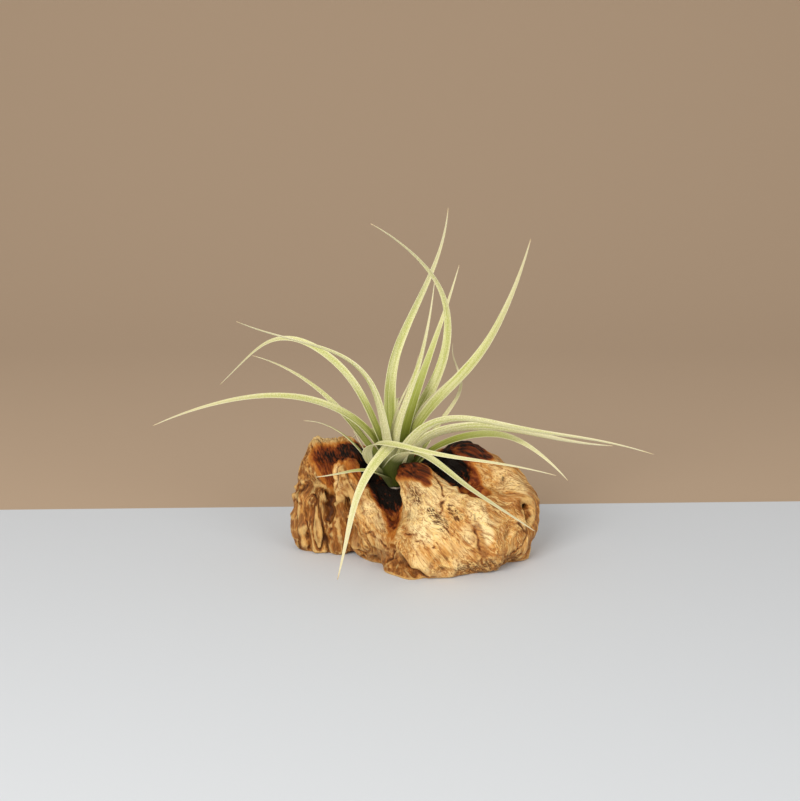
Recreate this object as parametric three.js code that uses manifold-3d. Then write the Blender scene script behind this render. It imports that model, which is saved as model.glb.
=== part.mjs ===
// An air plant seated in the charred hollow of a driftwood block.
// Millimetres. The origin is the middle of the wood's flat foot: +X right, +Y away from the viewer, +Z up.

import * as THREE from 'three';
import { mergeVertices } from 'three/addons/utils/BufferGeometryUtils.js';
import Module from 'manifold-3d';

// ---- Driving dimensions -------------------------------------------------------------------------

const CLEARANCE = 0.3; // gap between two pieces that touch

// The wood is a closed surface drawn through a grid of points this far apart.
const WOOD_CELL = 3.9;
const WOOD_LOW = [-92, -62, -12];
const WOOD_HIGH = [92, 60, 82];
const LOBE_BLEND = 5; // how softly two lobes run into each other
const FACET_BLEND = 3; // how softly a weathered facet breaks into its neighbours
const HOLLOW_BLEND = 3; // how softly the rim of a hollow is rounded

// The stem is a short cone on which the leaves sit.
const STEM_X = -12;
const STEM_Y = 4;
const BUTT_Z = 41; // lowest point, in its socket in the wood
const BUTT_RADIUS = 4;
const COLLAR_Z = 45; // the lowest leaves sit here
const COLLAR_RADIUS = 7;
const CROWN_Z = 64;
const CROWN_RADIUS = 1.6;
const STEM_SIDES = 20;

// How every leaf's thickness and width change from its root to its tip.
const ROOT_THICKNESS = 1.1;
const TIP_THICKNESS = 0.7;
const ROOT_WIDTH_SHARE = 0.5; // of the blade's width, where it leaves the stem
const SHEATH_RISE = 9; // length over which the root widens
const SHEATH_FLARE = 0.25; // extra width at the sheath's widest place
const SHEATH_MIDDLE = 12; // distance of that place from the root
const SHEATH_SPREAD = 8;
const TIP_WIDTH_SHARE = 0.1;
const TAPER_POWER = 0.85;
const CHANNEL_DEPTH = 0.24; // how far the edges stand above the midrib, as a share of the width
const ROOT_CHANNEL_DEPTH = 0.08;
const RING_SPACING = 8.5; // distance between two cross-sections
const STEPS_PER_RING = 4;

// Each leaf: the side of the stem it sits on and its height there, then the compass headings and the
// climb angles (degrees, 0 is level) that it passes through at even distances from root to tip.
const LEAVES = [
  {
    name: 'front_crossing', // sits on the left, crosses in front and lies out to the right
    seat: [212, 48.5], headings: [212, 281, 316, 3, 359], climbs: [41, 33, 2, -9, -15],
    length: 187, width: 7, tone: 'green',
  },
  {
    name: 'front_left_short', // short, level, points left
    seat: [236, 46], headings: [238, 228, 213, 197], climbs: [53, 26, 1, -1],
    length: 64, width: 5, tone: 'green',
  },
  {
    name: 'front_right', // falls over the knob to the right front
    seat: [260, 46.5], headings: [244, 303, 328, 329, 340], climbs: [55, 35, -27, -23, -28],
    length: 139, width: 9, tone: 'green',
  },
  {
    name: 'front_hanging', // arches forward and hangs down in front
    seat: [246, 50.5], headings: [258, 273, 236, 237, 223], climbs: [78, 29, -26, -65, -71],
    length: 152, width: 10, tone: 'green',
  },
  {
    name: 'right_drooping', // low on the right, with a hanging end
    seat: [3, 46], headings: [350, 358, 310, 357], climbs: [72, 19, -5, -49],
    length: 132, width: 8, tone: 'green',
  },
  {
    name: 'left_lower', // slim, on the left back
    seat: [166, 47.5], headings: [168, 162, 160, 164], climbs: [42, 48, 25, -5],
    length: 69, width: 3.8, tone: 'green',
  },
  {
    name: 'left_long', // the longest on the left, level
    seat: [161, 53.5], headings: [161, 199, 191, 174], climbs: [73, 28, -6, -26],
    length: 176, width: 9.5, tone: 'silver',
  },
  {
    name: 'left_short', // a stub of a leaf with a pink tip
    seat: [178, 50], headings: [175, 173, 164, 160], climbs: [57, 46, 59, 59],
    length: 37, width: 3.8, tone: 'dry',
  },
  {
    name: 'left_slim', // slim, straight, left back
    seat: [142, 51], headings: [149, 153, 158, 160], climbs: [47, 45, 29, 9],
    length: 124, width: 6, tone: 'silver',
  },
  {
    name: 'left_front', // rises to the left front
    seat: [235, 53.5], headings: [233, 230, 181, 233], climbs: [78, 67, 18, 25],
    length: 165, width: 7, tone: 'silver',
  },
  {
    name: 'right_long', // the longest on the right
    seat: [275, 49], headings: [265, 312, 343, 359, 357], climbs: [53, 43, -5, -8, -17],
    length: 204, width: 8, tone: 'silver',
  },
  {
    name: 'right_broad', // broad and level on the right
    seat: [331, 55.5], headings: [318, 336, 352, 0], climbs: [69, 17, -10, -3],
    length: 150, width: 9.5, tone: 'silver',
  },
  {
    name: 'back_kinked', // old, with a kinked dry end
    seat: [5, 50], headings: [4, 8, 39, 106, 81], climbs: [57, 60, 45, 32, 25],
    length: 111, width: 5, tone: 'dry',
  },
  {
    name: 'back_thin', // thin and dry, right back
    seat: [20, 52.5], headings: [50, 54, 24, 18], climbs: [76, 70, 41, 39],
    length: 76, width: 3.8, tone: 'dry',
  },
  {
    name: 'left_hooked', // arches left and hooks down at its end
    seat: [160, 57], headings: [162, 167, 172, 150, 141], climbs: [70, 63, 31, -36, -41],
    length: 180, width: 7, tone: 'silver',
  },
  {
    name: 'upright_right', // broad, leans right
    seat: [7, 57.5], headings: [8, 14, 27, 45], climbs: [78, 44, 60, 69],
    length: 169, width: 10, tone: 'green',
  },
  {
    name: 'upright_curled', // curls over to the left at the top
    seat: [76, 56], headings: [69, 14, 280, 206, 208], climbs: [52, 61, 81, 48, 28],
    length: 192, width: 8.5, tone: 'green',
  },
  {
    name: 'upright_tall', // the tallest
    seat: [115, 59.5], headings: [127, 84, 35, 34, 59], climbs: [73, 72, 61, 62, 80],
    length: 171, width: 9.5, tone: 'green',
  },
  {
    name: 'upright_front', // straight, in front of the tall ones
    seat: [251, 58], headings: [252, 359, 340, 25], climbs: [74, 71, 77, 84],
    length: 127, width: 7.5, tone: 'silver',
  },
  {
    name: 'upright_inner', // between the upright ones
    seat: [47, 62], headings: [60, 41, 48, 56], climbs: [70, 65, 61, 61],
    length: 132, width: 7, tone: 'green',
  },
  {
    name: 'heart', // the thin young leaf in the middle
    seat: [216, 60.5], headings: [229, 350, 346, 347], climbs: [78, 80, 64, 79],
    length: 75, width: 3, tone: 'dry',
  },
  {
    name: 'back_left', // on the side away from the viewer
    seat: [115, 46], headings: [124, 108, 112, 132], climbs: [65, 21, -22, -38],
    length: 92, width: 7.5, tone: 'green',
  },
  {
    name: 'back_middle', // on the side away from the viewer
    seat: [88, 49.5], headings: [88, 94, 82, 62], climbs: [58, 30, -12, -52],
    length: 118, width: 8.5, tone: 'silver',
  },
  {
    name: 'back_right', // on the side away from the viewer
    seat: [60, 47], headings: [64, 74, 58, 40], climbs: [52, 24, -14, -30],
    length: 90, width: 7, tone: 'green',
  },
];

// ---- The driftwood ------------------------------------------------------------------------------

// A lobe is a ball of one radius that grows into a ball of another along a straight line.
const lobe = (from, fromRadius, to, toRadius) => ({ from, fromRadius, to, toRadius });

const LOBES = [
  // the belly, front right
  lobe([16, -27, 14], 22, [36, -17, 20], 28),
  lobe([34, -14, 22], 24, [56, -4, 24], 22),
  lobe([4, -29, 23], 17, [4, -32, 14], 18),
  // the knob beside the plant and its ridge down into the belly
  lobe([-2, -16, 54], 12, [12, -26, 22], 20),
  lobe([3, -17, 53], 10, [24, -22, 34], 17),
  // the right back lobe, its two crests and its long right slope
  lobe([32, 16, 56], 12, [44, 10, 36], 18),
  lobe([48, 14, 52], 12, [58, 6, 34], 18),
  lobe([62, 8, 44], 13, [66, 0, 32], 14),
  lobe([64, -2, 34], 15, [60, -3, 8], 17),
  // the back wall behind the plant
  lobe([-44, 24, 55], 13, [-10, 32, 46], 13),
  lobe([-10, 32, 46], 13, [18, 30, 46], 13),
  lobe([18, 30, 46], 13, [34, 20, 54], 13),
  lobe([-40, 22, 18], 22, [36, 20, 20], 24),
  // the left back rim and the left end
  lobe([-63, 18, 66], 6, [-46, 20, 63], 7),
  lobe([-62, 17, 58], 10, [-46, 18, 56], 13),
  lobe([-60, 15, 50], 15, [-62, 12, 16], 17),
  // the finger lobe that runs down to the right
  lobe([-44, 0, 56], 8, [-38, -4, 36], 11),
  lobe([-38, -4, 38], 11, [-22, -16, 18], 13),
  // the low lobe under it
  lobe([-34, -3, 12], 12, [-22, -9, 8], 13),
  // the web between it and the belly
  lobe([-15, -22, 18], 8, [-12, -22, 6], 10),
  // the whorl and the small boss of the right end
  lobe([62, -17, 24], 8, [64, -18, 14], 8),
  lobe([77, -9, 23], 4, [76, -9, 18], 5),
  // the three ribs of the left end
  lobe([-73, 7, 34], 7, [-70, 7, 6], 8),
  lobe([-61, 3, 40], 7, [-61, 3, 6], 8),
  lobe([-50, 0, 36], 7, [-49, 0, 6], 8),
  // the middle of the block
  lobe([-40, 12, 24], 22, [20, 4, 22], 26),
  // the stub in front
  lobe([-12, -31, 1], 8, [-3, -40, 0], 7),
];

// A facet is a plane that weathering has worn the block back to: a point on it and its outward side.
const facet = (point, outward) => ({ point, outward: new THREE.Vector3(...outward).normalize().toArray() });

const FACETS = [
  facet([81, 0, 38], [1, -0.05, -0.17]),
  facet([80, 0, 38], [1, -0.05, 0.3]),
  facet([72, -16, 30], [0.75, -0.66, 0.05]),
  facet([-80, 8, 30], [-1, -0.05, 0.04]),
  facet([-74, 12, 50], [-0.92, -0.05, 0.38]),
  facet([60, 8, 59], [0.6, 0.05, 0.8]),
];

// Hollows are lobes that are taken away.
const HOLLOWS = [
  // the charred seat of the plant
  lobe([-12, 6, 80], 21, [-12, 5, 59], 16),
  // the charred channel down the front
  lobe([-16, -4, 58], 13, [-17, -26, 40], 9),
  lobe([-17, -26, 40], 9, [-14, -42, 24], 3),
  // the charred wedge on the right
  lobe([8, 4, 68], 10, [26, 0, 55], 10),
  lobe([24, -2, 57], 9, [36, -20, 47], 8),
  lobe([34, -18, 50], 7, [44, -16, 46], 3),
  // the deep cleft beside the finger lobe
  lobe([-48, -11, 36], 2, [-43.5, -11, 23], 4),
  lobe([-43.5, -11, 23], 4, [-43, -9, -1], 3.5),
];

const dot = (a, b) => a[0] * b[0] + a[1] * b[1] + a[2] * b[2];
const minus = (a, b) => [a[0] - b[0], a[1] - b[1], a[2] - b[2]];

function distanceToLobe(p, { from, fromRadius, to, toRadius }) {
  const axis = minus(to, from);
  const along = THREE.MathUtils.clamp(dot(minus(p, from), axis) / dot(axis, axis), 0, 1);
  const nearest = from.map((value, i) => value + axis[i] * along);
  return Math.hypot(...minus(p, nearest)) - THREE.MathUtils.lerp(fromRadius, toRadius, along);
}

// The lesser of two distances, rounded where they are within `blend` of each other.
function softMin(a, b, blend) {
  const near = Math.max(blend - Math.abs(a - b), 0) / blend;
  return Math.min(a, b) - near * near * blend / 4;
}

const softMax = (a, b, blend) => -softMin(-a, -b, blend);

// Signed distance to the wood: negative inside.
function woodDistance(p) {
  let distance = Infinity;
  for (const item of LOBES) {
    distance = softMin(distance, distanceToLobe(p, item), LOBE_BLEND);
  }
  for (const { point, outward } of FACETS) {
    distance = softMax(distance, dot(minus(p, point), outward), FACET_BLEND);
  }
  for (const item of HOLLOWS) {
    distance = softMax(distance, -distanceToLobe(p, item), HOLLOW_BLEND);
  }
  return distance;
}

// Draws the closed surface where woodDistance is zero: one vertex in each grid cell that the surface
// crosses, at the mean of its crossings, and one quad round each grid edge that it crosses.
function woodSurface() {
  const counts = WOOD_LOW.map((low, i) => Math.ceil((WOOD_HIGH[i] - low) / WOOD_CELL) + 1);
  const [countX, countY] = counts;
  const strides = [1, countX, countX * countY];
  const place = (i, j, k) => [i, j, k].map((n, axis) => WOOD_LOW[axis] + n * WOOD_CELL);
  const key = (i, j, k) => i + j * strides[1] + k * strides[2];

  const values = new Float64Array(counts[0] * counts[1] * counts[2]);
  eachNode(counts, (i, j, k) => {
    values[key(i, j, k)] = woodDistance(place(i, j, k));
  });

  const positions = [];
  const vertexOf = new Map();
  eachNode(counts.map((n) => n - 1), (i, j, k) => {
    const crossings = cellCrossings(values, key(i, j, k), strides);
    if (crossings.length === 0) {
      return;
    }
    const sum = crossings.reduce((total, c) => total.map((value, axis) => value + c[axis]), [0, 0, 0]);
    const mean = sum.map((value) => value / crossings.length);
    vertexOf.set(key(i, j, k), positions.length / 3);
    positions.push(...place(i + mean[0], j + mean[1], k + mean[2]));
  });

  const faces = [];
  eachNode(counts, (i, j, k) => {
    const here = key(i, j, k);
    for (let axis = 0; axis < 3; axis += 1) {
      const next = values[here + strides[axis]];
      if (next === undefined || (values[here] < 0) === (next < 0)) {
        continue;
      }
      const side = strides[(axis + 1) % 3];
      const up = strides[(axis + 2) % 3];
      const ring = [here, here - side, here - side - up, here - up].map((cell) => vertexOf.get(cell));
      faces.push(...splitQuad(positions, values[here] < 0 ? ring : ring.reverse()));
    }
  });

  const geometry = new THREE.BufferGeometry();
  geometry.setAttribute('position', new THREE.Float32BufferAttribute(positions, 3));
  geometry.setIndex(faces);
  return geometry;
}

function eachNode([countX, countY, countZ], visit) {
  for (let k = 0; k < countZ; k += 1) {
    for (let j = 0; j < countY; j += 1) {
      for (let i = 0; i < countX; i += 1) {
        visit(i, j, k);
      }
    }
  }
}

// Where the surface crosses the twelve edges of a cell, in cell units from its lowest corner.
function cellCrossings(values, base, strides) {
  const crossings = [];
  for (let corner = 0; corner < 8; corner += 1) {
    const bits = [corner & 1, (corner >> 1) & 1, (corner >> 2) & 1];
    const start = values[base + dot(bits, strides)];
    for (let axis = 0; axis < 3; axis += 1) {
      if (bits[axis] === 1) {
        continue;
      }
      const end = values[base + dot(bits, strides) + strides[axis]];
      if ((start < 0) !== (end < 0)) {
        const point = [...bits];
        point[axis] = start / (start - end);
        crossings.push(point);
      }
    }
  }
  return crossings;
}

// Two triangles, split along the shorter diagonal.
function splitQuad(positions, [a, b, c, d]) {
  const corner = (n) => positions.slice(3 * n, 3 * n + 3);
  const first = Math.hypot(...minus(corner(a), corner(c)));
  const second = Math.hypot(...minus(corner(b), corner(d)));
  return first < second ? [a, b, c, a, c, d] : [a, b, d, b, c, d];
}

// ---- The stem -----------------------------------------------------------------------------------

// The stem's outline, turned about its own axis; `grow` makes the socket that it stands in.
function stemGeometry(grow) {
  const outline = [
    new THREE.Vector2(0, BUTT_Z - grow),
    new THREE.Vector2(BUTT_RADIUS + grow, BUTT_Z - grow),
    new THREE.Vector2(COLLAR_RADIUS + grow, COLLAR_Z),
    new THREE.Vector2(CROWN_RADIUS + grow, CROWN_Z + grow),
    new THREE.Vector2(0, CROWN_Z + grow),
  ];
  const geometry = new THREE.LatheGeometry(outline, STEM_SIDES);
  geometry.rotateX(Math.PI / 2);
  geometry.translate(STEM_X, STEM_Y, 0);
  return geometry;
}

function stemRadius(z) {
  return THREE.MathUtils.mapLinear(z, COLLAR_Z, CROWN_Z, COLLAR_RADIUS, CROWN_RADIUS);
}

// ---- The leaves ---------------------------------------------------------------------------------

// A cross-section's corners: how far across (edge to edge is -1 to 1), then how much of the channel's
// depth and of the thickness each one takes.
const SECTION = [
  { across: -1, channel: 1, thick: 0 },
  { across: -0.5, channel: 0.25, thick: -0.4 },
  { across: 0, channel: 0, thick: -0.5 },
  { across: 0.5, channel: 0.25, thick: -0.4 },
  { across: 1, channel: 1, thick: 0 },
  { across: 0, channel: 0, thick: 0.5 },
];
const UPPER_MIDRIB = SECTION.length - 1;

function direction(heading, climb) {
  const turn = THREE.MathUtils.degToRad(heading);
  const rise = THREE.MathUtils.degToRad(climb);
  return new THREE.Vector3(Math.cos(rise) * Math.cos(turn), Math.cos(rise) * Math.sin(turn), Math.sin(rise));
}

// Grows a leaf from the stem: at each cross-section its place, its direction and its upper side.
function growSpine({ seat, headings, climbs, length }) {
  const [side, height] = seat;
  const rings = Math.round(length / RING_SPACING);
  const steps = rings * STEPS_PER_RING;
  const bearings = headings.map((heading, i) => direction(heading, climbs[i]));
  const guide = new THREE.CatmullRomCurve3(bearings, false, 'catmullrom');

  const reach = stemRadius(height) + CLEARANCE + ROOT_THICKNESS / 2;
  const place = direction(side, 0).multiplyScalar(reach).add(new THREE.Vector3(STEM_X, STEM_Y, height));
  let tangent = guide.getPoint(0).normalize();
  const upper = direction(headings[0], climbs[0] + 90);
  const spine = [];
  for (let step = 0; step <= steps; step += 1) {
    const next = guide.getPoint(step / steps).normalize();
    upper.applyQuaternion(new THREE.Quaternion().setFromUnitVectors(tangent, next));
    tangent = next;
    if (step % STEPS_PER_RING === 0) {
      spine.push({ place: place.clone(), tangent: tangent.clone(), upper: upper.clone() });
    }
    if (step < steps) {
      const onward = guide.getPoint((step + 0.5) / steps).normalize();
      place.addScaledVector(onward, length / steps);
    }
  }
  return spine;
}

function bladeWidth(share, { width, length }) {
  const distance = share * length;
  const root = ROOT_WIDTH_SHARE + (1 - ROOT_WIDTH_SHARE) * Math.min(distance / SHEATH_RISE, 1);
  const flare = 1 + SHEATH_FLARE * Math.exp(-(((distance - SHEATH_MIDDLE) / SHEATH_SPREAD) ** 2));
  const taper = TIP_WIDTH_SHARE + (1 - TIP_WIDTH_SHARE) * (1 - share) ** TAPER_POWER;
  return width * root * flare * taper;
}

function leafGeometry(leaf) {
  const spine = growSpine(leaf);
  const last = spine.length - 1;
  const corners = SECTION.length;
  const positions = [];
  for (let ring = 0; ring < last; ring += 1) {
    const { place, tangent, upper } = spine[ring];
    const width = bladeWidth(ring / last, leaf);
    const thickness = THREE.MathUtils.lerp(ROOT_THICKNESS, TIP_THICKNESS, ring / last);
    const opened = THREE.MathUtils.smoothstep(ring / last * leaf.length, 0, SHEATH_MIDDLE);
    const depth = THREE.MathUtils.lerp(ROOT_CHANNEL_DEPTH, CHANNEL_DEPTH, opened) * width;
    const sideways = new THREE.Vector3().crossVectors(upper, tangent);
    for (const { across, channel, thick } of SECTION) {
      const corner = place.clone();
      corner.addScaledVector(sideways, across * width / 2);
      corner.addScaledVector(upper, channel * depth + thick * thickness);
      positions.push(...corner);
    }
  }
  const tip = last * corners;
  positions.push(...spine[last].place);

  const faces = [];
  for (let i = 1; i < UPPER_MIDRIB; i += 1) {
    faces.push(UPPER_MIDRIB, i, i - 1); // the root's end face
  }
  for (let i = 0; i < corners; i += 1) {
    const j = (i + 1) % corners;
    const leansOut = Math.abs(SECTION[i].across) > Math.abs(SECTION[j].across);
    for (let ring = 0; ring < last - 1; ring += 1) {
      const [a, b] = [ring * corners + i, ring * corners + j];
      const [c, d] = [b + corners, a + corners];
      faces.push(...(leansOut ? [a, b, d, b, c, d] : [a, b, c, a, c, d]));
    }
    faces.push(tip - corners + i, tip - corners + j, tip);
  }

  const geometry = new THREE.BufferGeometry();
  geometry.setAttribute('position', new THREE.Float32BufferAttribute(positions, 3));
  geometry.setIndex(faces);
  return geometry;
}

// ---- Joining and cutting ------------------------------------------------------------------------

const wasm = await Module();
wasm.setup();

function toSolid(geometry) {
  const bare = new THREE.BufferGeometry();
  bare.setAttribute('position', geometry.getAttribute('position'));
  bare.setIndex(geometry.getIndex());
  const merged = mergeVertices(bare);
  const index = merged.getIndex().array;
  const faces = [];
  for (let i = 0; i < index.length; i += 3) {
    const [a, b, c] = index.slice(i, i + 3);
    if (a !== b && b !== c && c !== a) {
      faces.push(a, b, c);
    }
  }
  const vertProperties = merged.getAttribute('position').array;
  return new wasm.Manifold(new wasm.Mesh({ numProp: 3, vertProperties, triVerts: new Uint32Array(faces) }));
}

function toGeometry(solid) {
  const { vertProperties, triVerts } = solid.getMesh();
  const geometry = new THREE.BufferGeometry();
  geometry.setAttribute('position', new THREE.BufferAttribute(vertProperties, 3));
  geometry.setIndex(new THREE.BufferAttribute(triVerts, 1));
  return geometry;
}

// The block, sawn flat at z = 0, with a socket for the stem's butt.
function driftwoodGeometry() {
  const size = WOOD_HIGH.map((high, axis) => high - WOOD_LOW[axis]);
  const aboveFoot = new THREE.BoxGeometry(size[0], size[1], WOOD_HIGH[2]);
  aboveFoot.translate((WOOD_LOW[0] + WOOD_HIGH[0]) / 2, (WOOD_LOW[1] + WOOD_HIGH[1]) / 2, WOOD_HIGH[2] / 2);
  const block = toSolid(woodSurface()).intersect(toSolid(aboveFoot));
  return toGeometry(block.subtract(toSolid(stemGeometry(CLEARANCE))));
}

// ---- The assembly -------------------------------------------------------------------------------

const wood = new THREE.MeshStandardMaterial({ color: 0xb98246, roughness: 0.75, metalness: 0 });
const bark = new THREE.MeshStandardMaterial({ color: 0xb8ad98, roughness: 0.9, metalness: 0 });
const leafColours = { green: 0xa9b46a, silver: 0xb4ba98, dry: 0xb09a70 };

const airPlant = new THREE.Group();

function addPiece(name, geometry, material) {
  geometry.computeVertexNormals();
  const mesh = new THREE.Mesh(geometry, material);
  mesh.name = name;
  airPlant.add(mesh);
}

addPiece('driftwood', driftwoodGeometry(), wood);
addPiece('stem', stemGeometry(0), bark);
for (const leaf of LEAVES) {
  const colour = leafColours[leaf.tone];
  const skin = new THREE.MeshStandardMaterial({ color: colour, roughness: 0.6, metalness: 0 });
  addPiece(`leaf_${leaf.name}`, leafGeometry(leaf), skin);
}

export default airPlant;
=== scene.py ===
"""The looks of an air plant in a driftwood block, laid out as a Blender add-on.

Run as a script, it builds the wood, the stem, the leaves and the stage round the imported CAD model.
Blender's lengths are metres, in the CAD model's frame. The tables of the wood and of the leaves are
in millimetres, as the CAD source has them: +X right, +Y away from the viewer, +Z up.
"""

import math
from collections import namedtuple
from functools import partial
from itertools import product

import bpy
import numpy as np
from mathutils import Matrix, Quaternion, Vector


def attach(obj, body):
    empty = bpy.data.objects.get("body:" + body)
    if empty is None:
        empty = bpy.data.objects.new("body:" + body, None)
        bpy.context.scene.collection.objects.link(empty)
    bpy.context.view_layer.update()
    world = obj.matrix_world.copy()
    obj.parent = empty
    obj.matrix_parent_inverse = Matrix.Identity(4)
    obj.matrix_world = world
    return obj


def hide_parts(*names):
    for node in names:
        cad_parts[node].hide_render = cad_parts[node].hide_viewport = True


bl_info = {
    "name": "Air plant in a driftwood block",
    "version": (1, 0, 0),
    "blender": (4, 5, 0),
    "location": "3D View > Sidebar > Air Plant",
    "description": "Builds an air plant that sits in the charred hollow of a driftwood block",
    "category": "Add Mesh",
}

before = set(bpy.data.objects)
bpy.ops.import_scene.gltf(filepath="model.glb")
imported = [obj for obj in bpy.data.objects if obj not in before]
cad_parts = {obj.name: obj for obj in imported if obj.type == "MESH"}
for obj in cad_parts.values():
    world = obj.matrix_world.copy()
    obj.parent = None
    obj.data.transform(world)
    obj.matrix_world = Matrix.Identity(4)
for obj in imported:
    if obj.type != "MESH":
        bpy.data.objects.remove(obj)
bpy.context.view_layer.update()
BODY = "root"
MM = 0.001

# ---- The driftwood's form ----

# A lobe is a ball of one radius that grows into a ball of another along a straight line.
Lobe = namedtuple("Lobe", "start start_radius end end_radius")

LOBES = [
    # the belly, front right
    Lobe((16, -27, 14), 22, (36, -17, 20), 28),
    Lobe((34, -14, 22), 24, (56, -4, 24), 22),
    Lobe((4, -29, 23), 17, (4, -32, 14), 18),
    # the knob beside the plant and its ridge down into the belly
    Lobe((-2, -16, 54), 12, (12, -26, 22), 20),
    Lobe((3, -17, 53), 10, (24, -22, 34), 17),
    # the right back lobe, its two crests and its long right slope
    Lobe((32, 16, 56), 12, (44, 10, 36), 18),
    Lobe((48, 14, 52), 12, (58, 6, 34), 18),
    Lobe((62, 8, 44), 13, (66, 0, 32), 14),
    Lobe((64, -2, 34), 15, (60, -3, 8), 17),
    # the back wall behind the plant
    Lobe((-44, 24, 55), 13, (-10, 32, 46), 13),
    Lobe((-10, 32, 46), 13, (18, 30, 46), 13),
    Lobe((18, 30, 46), 13, (34, 20, 54), 13),
    Lobe((-40, 22, 18), 22, (36, 20, 20), 24),
    # the left back rim and the left end
    Lobe((-63, 18, 66), 6, (-46, 20, 63), 7),
    Lobe((-62, 17, 58), 10, (-46, 18, 56), 13),
    Lobe((-60, 15, 50), 15, (-62, 12, 16), 17),
    # the finger lobe that runs down to the right
    Lobe((-44, 0, 56), 8, (-38, -4, 36), 11),
    Lobe((-38, -4, 38), 11, (-22, -16, 18), 13),
    # the low lobe under it
    Lobe((-34, -3, 12), 12, (-22, -9, 8), 13),
    # the web between it and the belly
    Lobe((-15, -22, 18), 8, (-12, -22, 6), 10),
    # the whorl and the small boss of the right end
    Lobe((62, -17, 24), 8, (64, -18, 14), 8),
    Lobe((77, -9, 23), 4, (76, -9, 18), 5),
    # the three ribs of the left end
    Lobe((-73, 7, 34), 7, (-70, 7, 6), 8),
    Lobe((-61, 3, 40), 7, (-61, 3, 6), 8),
    Lobe((-50, 0, 36), 7, (-49, 0, 6), 8),
    # the middle of the block
    Lobe((-40, 12, 24), 22, (20, 4, 22), 26),
    # the stub in front
    Lobe((-12, -31, 1), 8, (-3, -40, 0), 7),
]

# A facet is a plane that weathering has worn the block back to: a point on it and its outward side.
FACETS = [
    ((81, 0, 38), (1, -0.05, -0.17)),
    ((80, 0, 38), (1, -0.05, 0.3)),
    ((72, -16, 30), (0.75, -0.66, 0.05)),
    ((-80, 8, 30), (-1, -0.05, 0.04)),
    ((-74, 12, 50), (-0.92, -0.05, 0.38)),
    ((60, 8, 56.5), (0.6, 0.05, 0.8)),
]

# Hollows are lobes that are taken away.
HOLLOWS = [
    # the charred seat of the plant
    Lobe((-12, 6, 80), 21, (-12, 5, 59), 16),
    # the charred channel down the front
    Lobe((-16, -4, 58), 13, (-17, -26, 40), 9),
    Lobe((-17, -26, 40), 9, (-14, -42, 24), 3),
    # the charred wedge on the right
    Lobe((8, 4, 68), 10, (26, 0, 55), 10),
    Lobe((24, -2, 57), 9, (36, -20, 47), 8),
    Lobe((34, -18, 50), 7, (44, -16, 46), 3),
    # the notch in the right crest
    Lobe((42, 30, 73.5), 6, (42, 4, 71), 6),
    # the deep cleft beside the finger lobe
    Lobe((-48, -11, 36), 2, (-44.5, -11, 23), 2.8),
    Lobe((-44.5, -11, 23), 2.8, (-43, -10, -1), 3.2),
    # the slit above the left ribs
    Lobe((-54, -5, 40), 3, (-55, -6, 25), 2.5),
    # the grooves between the ribs
    Lobe((-68.6, -4, 28), 1.5, (-68.6, -4, -1), 3.5),
    Lobe((-57, -6, 18), 1.5, (-57, -6, -1), 3),
    # the knot hole at the right end
    Lobe((71, -21, 37), 5.5, (67, -20, 39), 4.5),
    Lobe((70, -17, 36.5), 3.2, (67, -9, 36), 2.6),
    Lobe((72, -20, 33), 3, (69, -15, 27), 2.5),
    # the knot hole in the finger lobe
    Lobe((-44, -16, 40), 4, (-39, -3, 39), 3.2),
    Lobe((-42, -13, 34.5), 3.2, (-39, -4, 33), 2.6),
    # the gap between the belly and the stub
    Lobe((-14, -35, 16), 1.8, (-9, -42, 10), 1.8),
    Lobe((-9, -42, 10), 1.8, (0, -46.5, 5), 1.8),
    Lobe((0, -46.5, 5), 1.8, (11, -48, -1), 1.8),
]

LOBE_BLEND = 5  # how softly two lobes run into each other
FACET_BLEND = 3
HOLLOW_BLEND = 3
WOOD_LOW = (-92, -62, -4)
WOOD_HIGH = (92, 60, 82)
CRAG_TURN = np.array(Quaternion((1, 2, 3), 0.9).to_matrix())  # so that no crag follows an axis
SLOPE_STEP = 0.4  # half the distance between the two samples that give the surface's slope
FOOT_FADE = 2  # height above the foot in which the relief fades in

# What weathering has left: noise layers with the size of a mark, its share of the height and its seed.
RIDGES = (((42, 6, 6), 0.55, 21), ((18.9, 2.7, 2.7), 0.45, 22))  # the sizes along the grain and across
RIDGE_STEEPNESS = 2.6
CRAGS = ((21, 0.62, 27), (8, 0.38, 28))
CRAG_STEEPNESS = 3.2
# Noise patterns: the size of a mark, its seed, and the noise at which it starts and is full.
ROUGH_PATCHES = (20, 23, 0, 0.6)
PITS = (2.8, 25, 0.42, 0.7)
PITTED_PATCHES = (17, 26, 0, 0.5)
CLOSED_CRACKS = (4, 44, 0, 0.5)
LEFT_END = (20, 55)  # the left end's look starts and is full this far left of the middle
ROUGHNESS = 0.45  # share of the ridges' height: everywhere, more on the left, and more in patches
ROUGHER_LEFT = 0.6
ROUGHER_PATCHES = 0.5
FISSURE_SIZE = (60, 11, 11)
FISSURE_WIDTH = 0.2
FISSURES_ELSEWHERE = 0.1  # share of the fissures' depth away from the left end
CRACK_WOBBLE = 1.2
CRACK_WOBBLE_SIZE = 3
CRACK_CLOSING = 0.5  # share of its depth that a crack loses where it closes

# ---- The driftwood's grain and its burnt places ----

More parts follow.
